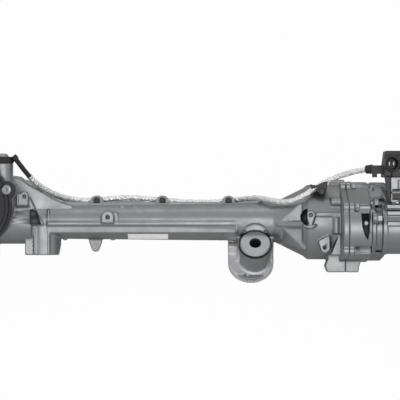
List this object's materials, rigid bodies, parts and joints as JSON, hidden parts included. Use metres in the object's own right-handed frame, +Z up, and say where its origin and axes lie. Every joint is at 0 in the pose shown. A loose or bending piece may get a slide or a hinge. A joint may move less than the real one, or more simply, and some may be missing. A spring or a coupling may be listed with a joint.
{
  "type": "steering rack",
  "caption": "Electric power steering rack: cast housing with leaning pinion, belt-driven ball nut, side motor, rubber-bushed mount and tie rods in bellows.",
  "frame": {"origin": "lower seat of the right bushing's sleeve, on the axis of its bolt bore", "axes": "+X along the rack to the motor end, +Z up the mount bolt, +Y to the rear of the vehicle"},
  "size_m": [1.346, 0.1635, 0.208],
  "materials": {
    "cast_aluminium": "die cast, lightly blasted",
    "machined_aluminium": "turned",
    "bright_steel": "ground",
    "plated_steel": "zinc plated",
    "motor_steel": "drawn and polished",
    "black_plastic": "moulded, fine grain",
    "rubber": "moulded",
    "foil_sleeve": "crinkled foil over glass braid",
    "belt_rubber": "ground back",
    "magnet": "sintered",
    "lamination_steel": "stacked laminations",
    "circuit_board": "solder mask",
    "bush_polymer": "moulded"
  },
  "bodies": {
    "housing": {"rack_housing": "cast_aluminium", "belt_housing": "cast_aluminium", "case_bolts": "plated_steel", "bushing_shell": "bright_steel", "bushing_rubber": "rubber", "bushing_core": "machined_aluminium", "torque_sensor": "black_plastic", "sensor_gasket": "rubber", "sensor_cover": "black_plastic", "cover_screws": "plated_steel", "input_seal": "rubber", "lower_bearing": "bright_steel", "upper_bearing": "bright_steel", "bearing_nut": "plated_steel", "yoke": "machined_aluminium", "yoke_spring": "bright_steel", "yoke_plug": "machined_aluminium", "right_rack_bush": "bush_polymer", "end_stop_rings": "rubber", "nut_bearing": "bright_steel", "bearing_retainer": "plated_steel", "drive_belt": "belt_rubber", "motor_housing": "motor_steel", "motor_stator": "lamination_steel", "motor_front_bearing": "bright_steel", "motor_rear_bearing": "bright_steel", "motor_bolts": "plated_steel", "control_housing": "cast_aluminium", "control_board": "circuit_board", "control_cover": "machined_aluminium", "connector_block": "black_plastic", "socket_pins": "plated_steel", "left_bellows": "rubber", "right_bellows": "rubber", "bellows_clamps": "plated_steel", "lead_conduit": "black_plastic", "lead_sleeve": "foil_sleeve", "outlet_grommet": "rubber", "outlet_cap": "plated_steel", "ear_clips": "black_plastic", "case_saddle": "black_plastic", "lead_plug": "black_plastic"},
    "rack": {"rack_bar": "bright_steel", "left_inner_joint": "bright_steel", "right_inner_joint": "bright_steel"},
    "left_rod": {"left_tie_rod": "bright_steel", "left_jam_nut": "plated_steel", "left_rod_clamp": "plated_steel"},
    "right_rod": {"right_tie_rod": "bright_steel", "right_jam_nut": "plated_steel", "right_rod_clamp": "plated_steel"},
    "pinion": {"pinion_shaft": "bright_steel", "torsion_bar": "bright_steel"},
    "input": {"input_shaft": "bright_steel", "sensor_magnet": "magnet"},
    "nut": {"ball_nut": "bright_steel", "driven_pulley": "machined_aluminium"},
    "rotor": {"motor_shaft": "bright_steel", "motor_rotor": "magnet", "drive_pulley": "bright_steel"}
  },
  "joints": [
    {"name": "nut_spin", "type": "hinge", "parent": "housing", "child": "nut", "pos_m": [0.0887, 0.0422, 0.0474], "axis": [1, 0, 0], "range_deg": [-3702.4, 3702.4]},
    {"name": "rack_slide", "type": "slide", "parent": "housing", "child": "rack", "axis": [1, 0, 0], "range_m": [-0.072, 0.072], "deforming": ["left_bellows", "right_bellows"]},
    {"name": "pinion_spin", "type": "hinge", "parent": "housing", "child": "pinion", "pos_m": [-0.3903, 0.05737, 0.05883], "axis": [-0.2588, -0.5813, 0.7714], "range_deg": [-443.7, 443.7]},
    {"name": "torsion_twist", "type": "hinge", "parent": "pinion", "child": "input", "pos_m": [-0.40014, 0.03528, 0.08815], "axis": [-0.2588, -0.5813, 0.7714], "range_deg": [-4.5, 4.5], "stiffness_Nm_per_rad": 115},
    {"name": "rotor_spin", "type": "hinge", "parent": "housing", "child": "rotor", "pos_m": [0.1327, -0.00832, 0.09949], "axis": [1, 0, 0], "range_deg": [-10183.6, 10183.6]},
    {"name": "left_rod_swing", "type": "hinge", "parent": "rack", "child": "left_rod", "pos_m": [-0.5583, 0.0422, 0.0474], "axis": [0, 1, 0], "range_deg": [-20, 20]},
    {"name": "right_rod_swing", "type": "hinge", "parent": "rack", "child": "right_rod", "pos_m": [0.3077, 0.0422, 0.0474], "axis": [0, 1, 0], "range_deg": [-20, 20]}
  ],
  "couplings": [
    {"joint": "rack_slide", "follows": "nut_spin", "m_per_rad": -0.0011141},
    {"joint": "pinion_spin", "follows": "nut_spin", "ratio": -0.11957},
    {"joint": "rotor_spin", "follows": "nut_spin", "ratio": 2.75}
  ]
}
